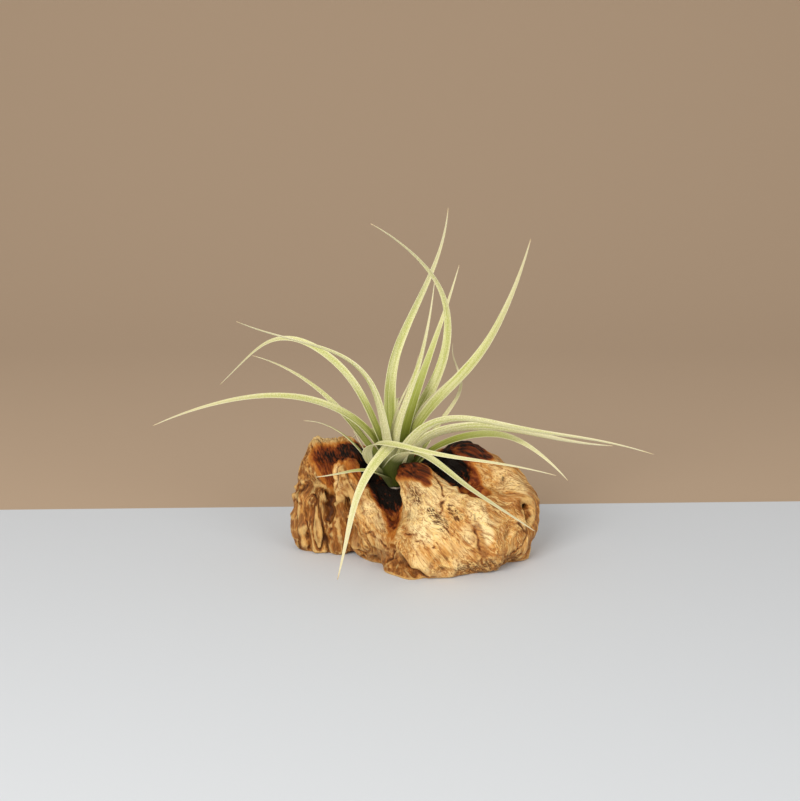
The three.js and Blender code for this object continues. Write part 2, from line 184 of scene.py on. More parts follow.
# The fibres fan out from a point above the left end, and bend round the knots.
GRAIN_SOURCE = (-75, 130)  # its x and z
GRAIN_RADIUS = 130  # distance from that point at which the grain's width is true
GRAIN_WAVE = 4  # how far the fibres wave, and how wide a wave is
GRAIN_WAVE_SIZE = 30
GRAIN_RIPPLE = 0.8
GRAIN_RIPPLE_SIZE = 9
Knot = namedtuple("Knot", "centre reach pull")
KNOTS = [
    Knot((66, -18, 39), 7, 8),  # the knot hole at the right end
    Knot((64, -24, 20), 8, 11),  # the round whorl under it
    Knot((-31, -24, 14), 8, 11),  # the swirl on the low lobe
    Knot((-43, -15, 41), 6, 6),
    Knot((16, -41, 30), 7, 4),
    Knot((-64, 0, 44), 7, 7),
    Knot((-20, 45, 30), 10, 14),
    Knot((40, 40, 18), 9, 10),
]

# A mark is a place that has changed colour: the lobe that it fills, how far it fades out beyond it,
# and how deep its colour is.
Mark = namedtuple("Mark", (*Lobe._fields, "fade", "depth"))
BURNS = [
    # the seat, the channel and the wedge
    Mark((-12, 6, 80), 21.5, (-12, 5, 59), 17, 8, 1),
    Mark((-18, -2, 48), 10, (-16, -10, 42), 7, 7, 1),
    Mark((-15, -9, 44), 6, (-12, -15, 38), 3, 7, 0.95),
    Mark((-15, -15, 40), 5, (-13.5, -25, 27), 2, 6, 0.62),
    Mark((-14, -26, 26), 2.5, (-13, -31, 20), 2, 4, 0.36),
    Mark((8, 4, 66), 10.5, (24, 0, 54), 8.5, 8, 1),
    Mark((23, -4, 56), 8, (31, -19, 47), 4, 7, 0.95),
    Mark((30, 8, 56), 6, (38, -10, 46), 4, 5, 0.6),
    Mark((31, -20, 48), 4, (43, -15, 44), 3, 6, 0.5),
    Mark((0, 12, 56), 12, (24, 12, 54), 10, 5, 0.95),
    # the saddle between the left rim and the plant
    Mark((-44, 9, 66), 4, (-26, 12, 60), 11, 9, 0.84),
    Mark((-60, 6, 64), 2, (-46, 6, 64), 4, 11, 0.78),
    Mark((-57, 2, 60), 5, (-52, 2, 46), 3, 6, 0.6),
    Mark((-31, 12, 48), 7, (-23, 4, 45), 7, 4, 1),
    # the tops of the knob, the right crest and the finger lobe
    Mark((-6, -19, 63), 6, (3, -21, 62), 5, 6, 0.72),
    Mark((3, -22, 61), 2, (6.5, -27, 56.5), 1.5, 4, 0.62),
    Mark((-11, -19, 60), 3, (-10, -19, 48), 2, 5, 0.42),
    Mark((20, 24, 68), 5, (40, 16, 69), 6, 8, 0.85),
    Mark((32, 10, 63), 5, (45, 10, 62), 3, 6, 0.74),
    Mark((50, 12, 64), 2, (58, 8, 61), 1, 4, 0.42),
    Mark((-37, -2, 61), 4, (-33, -6, 53), 3, 8, 0.55),
]
STAINS = [
    # the left end and the foot of the ribs
    Mark((-70, 4, 60), 10, (-66, 0, 6), 14, 14, 1),
    Mark((-52, -4, 34), 8, (-50, -6, 4), 9, 8, 0.95),
    # the upper half of the finger lobe
    Mark((-42, -6, 56), 4, (-39, -12, 42), 4, 8, 0.6),
    # inside the two knot holes
    Mark((-44, -12, 40), 4, (-40, -6, 35), 5, 2.5, 1),
    Mark((71, -18, 36), 4, (65, -9, 38), 4.5, 3, 1),
    # the low lobe, the stub and the edge of the foot
    Mark((-36, -18, 14), 8, (-18, -24, 8), 8, 8, 0.7),
    Mark((-16, -38, 5), 8, (-2, -48, 1), 6, 4, 1),
    Mark((-70, -10, -6), 8, (74, -14, -6), 9, 8, 0.7),
    Mark((-6, -40, -6), 8, (62, -28, -5), 8, 14, 0.6),
    # the right end and the patch under its knot hole
    Mark((82, -6, 54), 7, (80, -10, 8), 9, 9, 0.75),
    Mark((68, -14, 33), 3, (71, -17, 24), 4, 3.5, 1),
    # a streak down the belly
    Mark((37, -42, 32), 1.5, (40, -44, 16), 2.5, 4, 0.8),
    # the side away from the viewer
    Mark((-40, 48, 30), 8, (-10, 52, 12), 10, 14, 0.6),
    Mark((40, 42, 44), 6, (52, 30, 12), 8, 12, 0.6),
]
# Paler places: bleached wood, and painted highlight where the front light falls on the knob's front and
# along the lit edges
BLEACHES_AND_HIGHLIGHTS = [
    # the front of the knob, the patch on the belly, the finger lobe, the left rim, the right slope
    Mark((4, -32, 50), 7, (6, -40, 36), 8, 7, 0.9),
    Mark((37, -34, 43), 4, (42, -42, 27), 4.5, 4, 1),
    Mark((-29, -15, 34), 4, (-20, -20, 25), 4, 5, 0.85),
    Mark((-66, 16, 73), 3, (-52, 18, 75), 3, 3, 0.9),
    Mark((56, -4, 56), 4, (66, -6, 49), 4, 7, 0.6),
    # rubbed edges with a painted highlight along them: the wedge's, the finger lobe's
    Mark((15, -19, 58), 1, (28, -30, 49), 1, 2, 1),
    Mark((-53, -3, 39), 1, (-46, -8.5, 29), 1, 1.8, 0.9),
    Mark((-46, -8.5, 29), 1, (-36, -19, 19), 1, 1.8, 0.9),
]
SPECKS = [
    # dark fibres in patches: on the knob, on the belly and along the foot
    Mark((-3, -31, 54), 1, (1, -33, 47), 1.5, 3, 0.85),
    Mark((9, -37, 41), 1.5, (16, -42, 34), 3, 2.5, 1),
    Mark((21, -36, 43), 1.5, (26, -40, 39), 2, 2.5, 1),
    Mark((30, -46, 5), 3, (62, -24, 6), 4, 7, 0.7),
    Mark((-66, 0, 46), 5, (-60, -4, 36), 5, 7, 0.6),
]

# A crack runs through points on the surface, and opens to a width.
Crack = namedtuple("Crack", "width points")
CRACKS = [
    # the gap between the belly and the stub, and the one between the stub and the low lobe
    Crack(2, [(-14, -32, 17), (-12, -39, 16), (-10, -42, 12), (-6, -42, 8), (4, -46, 4), (12, -47, 0)]),
    Crack(1.6, [(-19, -33, 6), (-15, -34, 9), (-13, -33, 14)]),
    # down the knob's right side, and two hairlines and a slit in the belly
    Crack(1.4, [(13, -19, 59), (17, -28, 53), (17, -33, 47), (15, -37, 40)]),
    Crack(0.9, [(-2, -45, 25), (4, -47, 25), (6, -49, 21), (11, -48, 22)]),
    Crack(0.9, [(17, -43, 33), (27, -45, 24), (32, -45, 15), (32, -43, 7)]),
    Crack(1.4, [(-7, -41, 28), (-3, -43.5, 28.5), (0, -45, 29)]),
    Crack(1.3, [(37, -42, 31), (38, -44, 22), (41, -42, 10)]),
    # between the ribs of the left end, and the slits above them
    Crack(1.4, [(-70, -2, 22), (-69, -1, 11), (-69, 0, 2)]),
    Crack(1.8, [(-54, -2, 39), (-55, -3, 33), (-55, -4, 24)]),
    Crack(1.6, [(-66, -3, 40), (-64, -4, 37), (-66, -4, 30), (-67, -2, 20)]),
    Crack(1.4, [(-51, -8, 24), (-54, -7, 16), (-57, -4, 8)]),
    # over and under the low lobe
    Crack(1.1, [(-40, -16, 26), (-30, -25, 24), (-24, -29, 21), (-17, -31, 15)]),
    Crack(1.3, [(-37, -14, 7), (-33, -17, 6), (-29, -21, 7)]),
    # round the whorl, above its knot hole, and under it
    Crack(1.1, [(58, -30, 32), (65, -24, 28), (69, -20, 21), (67, -23, 15), (61, -27, 10)]),
    Crack(1.5, [(72, 3, 51), (75, -5, 45)]),
    Crack(1.3, [(56, -33, 9), (65, -23, 7), (73, -15, 6)]),
]

# ---- The leaves' form ----

STEM_X = -12
STEM_Y = 4
BUTT_Z = 41
BUTT_RADIUS = 4
COLLAR_Z = 45
COLLAR_RADIUS = 7
CROWN_Z = 64
CROWN_RADIUS = 1.6
SEAT_GAP = 0.85  # from the stem's surface to the middle of a leaf's root
ROOT_SINK = 1  # how far a leaf starts below its seat
ROLL_SHARE = 0.45  # share of a leaf's length in which its face rolls over
GUIDE_SPACING = 2.1  # distance between two steps of a growing leaf

# Each leaf: the side of the stem it sits on and its height there, then the compass headings and the
# climb angles (degrees, 0 is level) that it passes through at even distances from root to tip, its
# length and width, its tone, how far its face rolls over beyond the sheath, the sheath's width as a
# share of the blade's, and how green and shaded its root is: up to 1 the outside of its sheath is bare
# of scales and so deep green, with painted shade over it near the root, and from 1 to 2 the lower half
# of its blade turns green and darker too, partly as painted shade.
Leaf = namedtuple(
    "Leaf", "seat headings climbs length width tone roll sheath green_root", defaults=(0, 1.7, 0)
)
LEAVES = {
    "front_crossing": Leaf(
        (212, 48.5), (212, 281, 316, 3, 359), (41, 33, 2, -9, -15), 187, 6, "green", roll=90
    ),
    "front_left_short": Leaf(
        (236, 46), (238, 228, 213, 197), (53, 26, 1, -1), 64, 5, "green",
        roll=-30, sheath=2.2, green_root=0.6,
    ),
    "front_right": Leaf(
        (260, 46.5), (244, 303, 328, 329, 340), (55, 35, -27, -23, -28), 139, 9, "green",
        roll=55, sheath=2.3, green_root=1,
    ),
    "front_hanging": Leaf(
        (246, 50.5), (258, 273, 236, 237, 223), (78, 29, -26, -65, -71), 152, 10, "green"
    ),
    "right_drooping": Leaf(
        (3, 46), (350, 358, 310, 357), (72, 19, -5, -49), 132, 8, "green", roll=42, green_root=1.7
    ),
    "left_lower": Leaf((166, 47.5), (168, 162, 160, 164), (42, 48, 25, -5), 69, 3.8, "green"),
    "left_long": Leaf((161, 53.5), (161, 199, 191, 174), (73, 28, -6, -26), 176, 8.5, "silver", roll=5),
    "left_short": Leaf((178, 50), (175, 173, 164, 160), (57, 46, 59, 59), 37, 3.8, "dry"),
    "left_slim": Leaf((142, 51), (149, 153, 158, 160), (47, 45, 29, 9), 124, 6, "silver", roll=-20),
    "left_front": Leaf((235, 53.5), (233, 230, 181, 233), (78, 67, 18, 25), 165, 7, "silver"),
    "right_long": Leaf(
        (275, 49), (265, 312, 343, 359, 357), (53, 43, -5, -8, -17), 204, 7, "silver", roll=-12
    ),
    "right_broad": Leaf((331, 55.5), (318, 336, 352, 0), (69, 17, -10, -3), 150, 9.5, "silver", roll=-50),
    "back_kinked": Leaf((5, 50), (4, 8, 39, 106, 81), (57, 60, 45, 32, 25), 111, 4, "dry", roll=60),
    "back_thin": Leaf((20, 52.5), (50, 54, 24, 18), (76, 70, 41, 39), 76, 3.8, "dry", roll=60),
    "left_hooked": Leaf(
        (160, 57), (162, 167, 172, 150, 141), (70, 63, 31, -36, -41), 180, 7, "silver", roll=-35
    ),
    "upright_right": Leaf((7, 57.5), (8, 14, 27, 45), (78, 44, 60, 69), 169, 13.5, "green", roll=24),
    "upright_curled": Leaf((76, 56), (69, 14, 280, 206, 208), (52, 61, 81, 48, 28), 192, 8.5, "green"),
    "upright_tall": Leaf((115, 59.5), (127, 84, 35, 34, 59), (73, 72, 61, 62, 80), 171, 9.5, "green"),
    "upright_front": Leaf((251, 58), (252, 359, 340, 25), (74, 71, 77, 84), 127, 5, "silver"),
    "upright_inner": Leaf(
        (47, 62), (60, 41, 48, 56), (70, 65, 61, 61), 132, 7, "green", roll=10, green_root=1.7
    ),
    "heart": Leaf((216, 60.5), (229, 350, 346, 347), (78, 80, 64, 79), 75, 3, "dry"),
    "back_left": Leaf((115, 46), (124, 108, 112, 132), (65, 21, -22, -38), 92, 7.5, "green", roll=-15),
    "back_middle": Leaf((88, 49.5), (88, 94, 82, 62), (58, 30, -12, -52), 118, 8.5, "silver"),
    "back_right": Leaf((60, 47), (64, 74, 58, 40), (52, 24, -14, -30), 90, 7, "green", roll=20),
}

# ---- The stage ----

CAMERA_PLACE = (-0.009753, -0.81293, 0.3198)
CAMERA_TILT = 15  # degrees below level
CAMERA_LENS = 60
TABLE_HALF = 1.6
TABLE_BACK_LEFT = (-0.3, 0.081)  # two points of the table's back edge, x and y
TABLE_BACK_RIGHT = (0.3, 0.1)
BACKDROP_FRONT = 0.06  # it starts under the table, lies flat as far as its bend, and curves up
BACKDROP_BEND = 0.6
BACKDROP_HEIGHT = 1
BACKDROP_DROP = 0.002  # how far it lies below the table's top
BACKDROP_STEPS = 17  # points along its curve
TABLE_ROUGHNESS = 0.6
BACKDROP_ROUGHNESS = 0.9
LIGHT_AIM = (0, 0, 0.06)
KEY_LIGHT = {"place": (-0.65, -1.15, 0.85), "size": 0.8, "colour": "fffaf2"}
FILL_LIGHT = {"place": (0.85, -1.0, 0.4), "size": 0.9, "colour": "fffdf8"}
ROOM_COLOUR = "f2ece4"
ROOM_STRENGTH = 0.56


# ---- Settings ----


def linear(hex_colour):
    """The linear RGBA of an sRGB colour written as six hex digits."""
    parts = [int(hex_colour[i : i + 2], 16) / 255 for i in (0, 2, 4)]
    return tuple(p / 12.92 if p <= 0.04045 else ((p + 0.055) / 1.055) ** 2.4 for p in parts) + (1.0,)


def number_setting(description, default, **limits):
    """A number that a user may change, with its default."""
    return bpy.props.FloatProperty(description=description, default=default, **limits)


def length_setting(description, default_mm):
    """A length that a user may change, with its default in millimetres."""
    return number_setting(description, default_mm * MM, subtype="DISTANCE", unit="LENGTH", min=0)


def colour_setting(description, hex_colour):
    """A colour that a user may change, with its default."""
    return bpy.props.FloatVectorProperty(
        description=description, subtype="COLOR", size=4, min=0, max=1, default=linear(hex_colour)
    )


class DriftwoodSettings(bpy.types.PropertyGroup):
    """Sizes and colours of the wood."""

    cell: length_setting("Distance between the points of the wood's surface", 0.85)
    ridge_height: length_setting("Height of the weathered ridges along the grain", 0.9)
    crag_height: length_setting("Height of the broken edges across the block", 1.9)
    fissure_depth: length_setting("Depth of the weathered fissures of the left end", 2.4)
    pit_depth: length_setting("Depth of the small weathered pits", 0.9)
    crack_depth: length_setting("Depth of the drawn cracks", 1.3)
    golden: colour_setting("The wood's own colour", "d59a50")
    pale: colour_setting("Bleached patches and fibres", "fae0a4")
    brown: colour_setting("Streaks of darker heartwood", "9f5f28")
    stained: colour_setting("Weathered, reddish places", "8e521a")
    fibre: colour_setting("Pores and the lines between the fibres", "5a3414")
    # ridge: pale rubbed seams along the grain, and a painted highlight on the raised ridges of the relief
    ridge: colour_setting("Rubbed ridges", "f8d288")
    # crevice: dirt in the cracks and small hollows, and painted shade in the wide hollows of the block
    crevice: colour_setting("Dirt in the crevices", "44220c")
    toasted: colour_setting("The outer edge of a burnt place", "c67a2a")
    browned: colour_setting("Further into a burnt place", "82380e")
    charred: colour_setting("The black heart of a burnt place", "140c05")


class LeafSettings(bpy.types.PropertyGroup):
    """Sizes and colours of the leaves."""

    fullness: number_setting("Width of the blades against the table", 1.32, min=0.5, max=2)
    root_thickness: length_setting("Thickness of a leaf at its root", 1)
    tip_thickness: length_setting("Thickness of a leaf at its tip", 0.5)
    sheath_length: length_setting("Distance in which the sheath narrows to the blade", 13)
    sheath_curl: number_setting("Half of the arc that a sheath wraps", math.radians(72), subtype="ANGLE")
    blade_curl: number_setting("Half of the arc across a blade", math.radians(32), subtype="ANGLE")
    unevenness: number_setting("How far a blade's width wanders", 0.1, min=0, max=0.5)
    blade: colour_setting("The middle of a green leaf", "dad89e")
    # deep: the greener inside of a leaf, also painted shade low among the leaves and on shaded blades
    deep: colour_setting("Inside a leaf near its root", "a2ac2c")
    # shade: dark olive for the veins and the bare outside of a sheath, and painted shade near the roots, on
    # the bulb and on shaded blades
    shade: colour_setting("The outside of a sheath without scales", "424c08")
    silver: colour_setting("The scaly outside", "d0cb9c")
    margin: colour_setting("The thin pale edges", "f8f4cc")
    tip: colour_setting("The dry last third", "d6ccaa")
    tip_end: colour_setting("The withered last millimetres", "bf9c78")


class StemSettings(bpy.types.PropertyGroup):
    """Sizes and colours of the stem."""

    scar_spacing: length_setting("Distance between two leaf scars", 2.2)
    scar_height: length_setting("How far a leaf scar stands out", 0.5)
    bark: colour_setting("Dry fibres", "c9bfae")
    fibre_shadow: colour_setting("Between the fibres", "6d5c48")


class StageSettings(bpy.types.PropertyGroup):
    """The floor, the backdrop and the lights."""

    table: colour_setting("The pale floor", "d8dfe8")
    backdrop: colour_setting("The plain backdrop", "bfa890")
    key_power: number_setting("Power of the large front light", 16, subtype="POWER", min=0)
    fill_power: number_setting("Power of the light on the right", 6.5, subtype="POWER", min=0)


# ---- Shared tools ----


def set_inputs(tree, node, inputs):
    """Sets or links a node's inputs by name or number."""
    for key, value in inputs.items():
        if isinstance(key, int):
            socket = node.inputs[key]
        else:
            socket = next(s for s in node.inputs if s.name == key and s.enabled)
        if isinstance(value, bpy.types.NodeSocket):
            tree.links.new(value, socket)
        else:
            socket.default_value = value


def add_node(tree, kind, inputs=None, **settings):
    """Adds a node, sets or links its inputs, and returns its first output in use."""
    node = tree.nodes.new(kind)
    for key, value in settings.items():
        setattr(node, key, value)
    set_inputs(tree, node, inputs or {})
    return next((s for s in node.outputs if s.enabled), None)


def add_math(tree, operation, *values):
    """A sum, a product or another function of numbers."""
    return add_node(tree, "ShaderNodeMath", dict(enumerate(values)), operation=operation)


def map_range(tree, value, start, full, low=0, high=1, **settings):
    """Maps a value from between `start` and `full` to between `low` and `high`."""
    inputs = {"Value": value, "From Min": start, "From Max": full, "To Min": low, "To Max": high}
    return add_node(tree, "ShaderNodeMapRange", inputs, **settings)


def read_attribute(tree, name):
    """The number that a mesh carries under a name."""
    return add_node(tree, "ShaderNodeAttribute", attribute_name=name).node.outputs["Fac"]


def add_bump(tree, height, strength, distance, **settings):
    """Fine relief from a height."""
    inputs = {"Strength": strength, "Distance": distance, "Height": height}
    return add_node(tree, "ShaderNodeBump", inputs, **settings)


def add_layers(tree, settings, base, layers, patterns):
    """Lays colours of the settings over a base colour.

    A layer is a colour, the most that it covers, and limits (pattern, where it starts, where it is
    full) that all have to be met."""
    colour = tuple(getattr(settings, base))
    for tint, cover, *limits in layers:
        amount = cover
        for name, start, full in limits:
            amount = add_math(tree, "MULTIPLY", map_range(tree, patterns[name], start, full), amount)
        inputs = {"Factor": amount, "A": colour, "B": tuple(getattr(settings, tint))}
        colour = add_node(tree, "ShaderNodeMix", inputs, data_type="RGBA")
    return colour


def add_patterns(tree, vector, sizes):
    """Noise patterns on a vector in millimetres: name -> (size of a mark along each axis, detail)."""
    patterns = {}
    for name, (size, detail) in sizes.items():
        scale = [1 / length for length in size]
        stretched = add_node(tree, "ShaderNodeMapping", {"Vector": vector, "Scale": scale})
        inputs = {"Vector": stretched, "Scale": 1, "Detail": detail}
        patterns[name] = add_node(tree, "ShaderNodeTexNoise", inputs)
    return patterns


def new_material(name):
    """A material's node tree and its shader."""
    material = bpy.data.materials.new(name)
    material.use_nodes = True
    return material, material.node_tree, material.node_tree.nodes["Principled BSDF"]


NOISE_VALUES = 4096
NOISE_STRIDES = (73, 179, 283)


def lattice_noise(points, seed):
    """Smooth noise from -1 to 1 with marks about one unit wide."""
    table = np.random.default_rng(seed).uniform(-1, 1, NOISE_VALUES)
    cell = np.floor(points).astype(int)
    share = points - cell
    share = share * share * (3 - 2 * share)
    total = np.zeros(len(points))
    for corner in product((0, 1), repeat=3):
        key = (cell + corner) @ NOISE_STRIDES
        weight = np.prod(np.where(corner, share, 1 - share), axis=1)
        total += weight * table[key % NOISE_VALUES]
    return total


def smooth_step(value, start, end):
    """0 up to `start`, 1 from `end` on, and smooth between."""
    share = np.clip((value - start) / (end - start), 0, 1)
    return share * share * (3 - 2 * share)


def noise_step(points, size, seed, start, end):
    """Where noise is above `end` 1, below `start` 0, and smooth between."""
    return smooth_step(lattice_noise(points / size, seed), start, end)


def add_object(name, data):
    """Puts a mesh, a light or a camera into the scene."""
    thing = bpy.data.objects.new(name, data)
    bpy.context.scene.collection.objects.link(thing)
    return thing


def new_mesh(name, points, faces):
    """A mesh with smooth faces, from points in metres."""
    mesh = bpy.data.meshes.new(name)
    mesh.from_pydata(points, [], faces)
    mesh.shade_smooth()
    return mesh


def link_mesh(name, mesh, node):
    """Puts a finished mesh into the scene in place of a CAD node."""
    piece = add_object(name, mesh)
    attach(piece, BODY)
    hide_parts(node)


# ---- The driftwood ----


def lobe_distance(points, lobe):
    """Signed distance to a lobe's surface: negative inside."""
    start = np.array(lobe.start, float)
    axis = np.array(lobe.end, float) - start
    along = np.clip((points - start) @ axis / (axis @ axis), 0, 1)
    radius = lobe.start_radius + (lobe.end_radius - lobe.start_radius) * along
    return np.linalg.norm(points - start - along[..., None] * axis, axis=-1) - radius


def soft_min(a, b, blend):
    """The lesser of two distances, rounded where they are within `blend` of each other."""
    near = np.maximum(blend - np.abs(a - b), 0) / blend
    return np.minimum(a, b) - near * near * blend / 4


def wood_distance(points):
    """Signed distance to the block, which stands flat on z = 0."""
    distance = lobe_distance(points, LOBES[0])
    for lobe in LOBES[1:]:
        distance = soft_min(distance, lobe_distance(points, lobe), LOBE_BLEND)
    for point, outward in FACETS:
        normal = np.array(outward) / np.linalg.norm(outward)
        distance = -soft_min(-distance, -((points - point) @ normal), FACET_BLEND)
    for hollow in HOLLOWS:
        distance = -soft_min(-distance, lobe_distance(points, hollow), HOLLOW_BLEND)
    return np.maximum(distance, -points[..., 2])


def closed_surface(distance, low, high, cell):
    """Points and quads of the surface where `distance` is zero.

    There is one point in each grid cell that the surface crosses, at the mean of its crossings, and
    one quad round each grid edge that it crosses."""
    low = np.array(low, float)
    counts = np.ceil((high - low) / cell).astype(int) + 1
    axes = [low[i] + cell * np.arange(counts[i]) for i in range(3)]
    values = distance(np.stack(np.meshgrid(*axes, indexing="ij"), -1))
    cells = tuple(counts - 1)

    total = np.zeros((*cells, 3))
    crossings = np.zeros(cells)
    for start, axis in product(product((0, 1), repeat=3), range(3)):
        if start[axis]:
            continue
        step = np.eye(3, dtype=int)[axis]
        here, there = (
            values[tuple(slice(o, o + n) for o, n in zip(corner, cells))] for corner in (start, start + step)
        )
        crossed = (here < 0) != (there < 0)
        share = np.where(crossed, here / np.where(crossed, here - there, 1), 0)
        total += crossed[..., None] * (start + share[..., None] * step)
        crossings += crossed
    used = crossings > 0
    points = low + cell * (np.argwhere(used) + total[used] / crossings[used][:, None])
    number = np.full(cells, -1)
    number[used] = np.arange(len(points))

    inside = values < 0
    quads = []
    for axis in range(3):
        edges = np.argwhere(np.diff(inside, axis=axis))
        side, up = np.roll(np.eye(3, dtype=int), -axis, axis=0)[1:]
        ring = np.stack([number[tuple((edges - back).T)] for back in (0, side, side + up, up)], 1)
        leaves_wood = inside[tuple(edges.T)]
        quads.append(np.where(leaves_wood[:, None], ring, ring[:, ::-1]))
    return points, np.concatenate(quads)


def wood_normals(points):
    """Outward directions of the block's surface."""
    steps = np.eye(3) * SLOPE_STEP
    slope = np.stack([wood_distance(points + s) - wood_distance(points - s) for s in steps], -1)
    return slope / np.linalg.norm(slope, axis=1, keepdims=True)


def grain_coordinates(points):
    """Place in the grain, in millimetres: along the fibres, across them, and through the block."""
    offset = points[:, [0, 2]] - GRAIN_SOURCE
    along = np.hypot(*offset.T)
    across = np.arctan2(*offset.T) * GRAIN_RADIUS
    waves = [GRAIN_WAVE * lattice_noise(points / GRAIN_WAVE_SIZE, seed) for seed in (11, 12)]
    through = points[:, 1] + waves[0]
    across += waves[1] + GRAIN_RIPPLE * lattice_noise(points / GRAIN_RIPPLE_SIZE, seed=13)
    for knot in KNOTS:
        away = np.linalg.norm(points - knot.centre, axis=1) / knot.reach
        across += knot.pull * np.exp(-away * away)
    return np.stack([along, across, through], 1)


def ridged_noise(points, layers, steepness):
    """Layers of noise that stand up to 1 along lines and fall away beside them."""
    return sum(
        share * (1 - steepness * np.abs(lattice_noise(points / size, seed))) for size, share, seed in layers
    )


def wood_relief(points, grain, settings):
    """How far weathering has left each point outside the smooth form, in millimetres."""
    leftness = smooth_step(-points[:, 0], *LEFT_END)
    rough = ROUGHNESS + ROUGHER_LEFT * leftness + ROUGHER_PATCHES * noise_step(points, *ROUGH_PATCHES)
    fissures = smooth_step(np.abs(lattice_noise(grain / FISSURE_SIZE, seed=24)), FISSURE_WIDTH, 0)
    fissures *= FISSURES_ELSEWHERE + (1 - FISSURES_ELSEWHERE) * leftness
    pits = noise_step(points, *PITS) * noise_step(points, *PITTED_PATCHES)
    relief = (
        settings.ridge_height * ridged_noise(grain, RIDGES, RIDGE_STEEPNESS) * rough
        + settings.crag_height * ridged_noise(points @ CRAG_TURN, CRAGS, CRAG_STEEPNESS)
        - settings.fissure_depth * fissures
        - settings.pit_depth * pits
    )
    return relief / MM


def marked(points, marks):
    """How deeply each point is coloured by the marks, from 0 to 1."""
    depth = np.zeros(len(points))
    for mark in marks:
        distance = lobe_distance(points, mark)
        depth = np.maximum(depth, mark.depth * (1 - smooth_step(distance, 0, mark.fade)))
    return depth


def cracked(points):
    """How deep in a crack each point lies, from 0 to 1."""
    closed = CRACK_CLOSING * noise_step(points, *CLOSED_CRACKS)
    wobble = [lattice_noise(points / CRACK_WOBBLE_SIZE, seed) for seed in (41, 42, 43)]
    points = points + CRACK_WOBBLE * np.stack(wobble, 1)
    depth = np.zeros(len(points))
    for crack in CRACKS:
        for start, end in zip(crack.points, crack.points[1:]):
            distance = lobe_distance(points, Lobe(start, 0, end, 0))
            depth = np.maximum(depth, 1 - smooth_step(distance, 0, crack.width))
    return depth * (1 - closed)


def hollowness(points, normals, quads, passes):
    """How far each point lies under its surroundings, in millimetres; negative on a ridge."""
    corners = quads.ravel()
    neighbours = np.roll(quads, -1, axis=1).ravel()
    counts = np.bincount(corners, minlength=len(points))
    smoothed = points
    for _ in range(passes):
        sums = [np.bincount(corners, smoothed[neighbours, i], len(points)) for i in range(3)]
        smoothed = np.stack(sums, 1) / counts[:, None]
    return ((smoothed - points) * normals).sum(1)


def wood_mesh(settings):
    """The block's mesh, with the attributes that its material reads."""
    points, quads = closed_surface(wood_distance, WOOD_LOW, WOOD_HIGH, settings.cell / MM)
    normals = wood_normals(points)
    grain = grain_coordinates(points)
    above_foot = smooth_step(points[:, 2], 0, FOOT_FADE)
    cracks = cracked(points)
    relief = (wood_relief(points, grain, settings) - settings.crack_depth / MM * cracks) * above_foot
    carved = points + normals * relief[:, None]
    carved[:, 2] = np.maximum(carved[:, 2], 0)
    mesh = new_mesh("driftwood", carved * MM, quads.tolist())
    mesh.attributes.new("grain", "FLOAT_VECTOR", "POINT").data.foreach_set("vector", grain.ravel())
    for name, values in {
        "burnt": marked(carved, BURNS),
        "stained": marked(carved, STAINS),
        "bleached": marked(carved, BLEACHES_AND_HIGHLIGHTS),
        "specked": marked(carved, SPECKS),
        "cracked": cracks,
        "fine_hollow": hollowness(carved, normals, quads, passes=6),
        "wide_hollow": hollowness(carved, normals, quads, passes=45),
    }.items():
        mesh.attributes.new(name, "FLOAT", "POINT").data.foreach_set("value", values)
    return mesh


# The wood's noise: millimetres along the fibres, across them and through the block, and its detail.
WOOD_PATTERNS = {
    "fibres": ((10, 0.7, 0.7), 3),
    "cracks": ((22, 3.4, 3.4), 3),
    "streaks": ((26, 2.2, 2.2), 3),
    "patches": ((24, 12, 12), 2),
    "pores": ((3, 0.8, 0.8), 1),
    "flecks": ((7, 2.2, 2.2), 4),
    "seams": ((34, 6, 6), 3),
}
WOOD_LAYERS = [
    ("pale", 0.7, ("patches", 0.5, 0.66)),
    # pale over bleached places, and painted highlight on the knob's front and the lit edges
    ("pale", 0.9, ("bleached", 0.1, 0.9)),
    ("brown", 0.55, ("patches", 0.46, 0.32)),
    ("brown", 0.6, ("streaks", 0.5, 0.64)),
    ("pale", 0.45, ("streaks", 0.46, 0.32)),
    ("pale", 0.4, ("fibres", 0.45, 0.3)),
    ("stained", 0.9, ("stained", 0.1, 0.9)),
    ("brown", 0.6, ("fibres", 0.55, 0.7)),
    ("golden", 0.75, ("flecks", 0.5, 0.62), ("stained", 0.2, 0.8)),
    ("fibre", 0.6, ("flecks", 0.44, 0.34), ("stained", 0.2, 0.8)),
    ("fibre", 0.5, ("fibres", 0.56, 0.64), ("stained", 0.2, 0.8)),
    ("brown", 0.6, ("cracks", 0.03, 0.01)),
    ("fibre", 0.5, ("cracks", 0.014, 0.004), ("patches", 0.44, 0.38)),
    ("fibre", 0.5, ("pores", 0.66, 0.74)),
    ("fibre", 0.9, ("fibres", 0.44, 0.52), ("specked", 0.2, 0.8)),
    ("ridge", 0.7, ("seams", 0.02, 0.004), ("stained", 0.5, 0.1)),
    # painted highlight on the raised ridges of the relief
    ("ridge", 0.5, ("fine_hollow", -0.12, -0.5)),
    # dirt together with painted shade in the small hollows of the relief
    ("crevice", 0.6, ("fine_hollow", 0.15, 0.6)),
    # painted shade in the wide hollows of the block
    ("crevice", 0.8, ("wide_hollow", 0.5, 2.2)),
    ("brown", 0.6, ("cracked", 0, 0.3)),
    ("crevice", 0.85, ("cracked", 0.25, 0.8)),
    ("toasted", 0.9, ("char", 0.1, 0.35)),
    ("browned", 1, ("char", 0.3, 0.6)),
    ("charred", 1, ("char", 0.58, 0.85)),
]


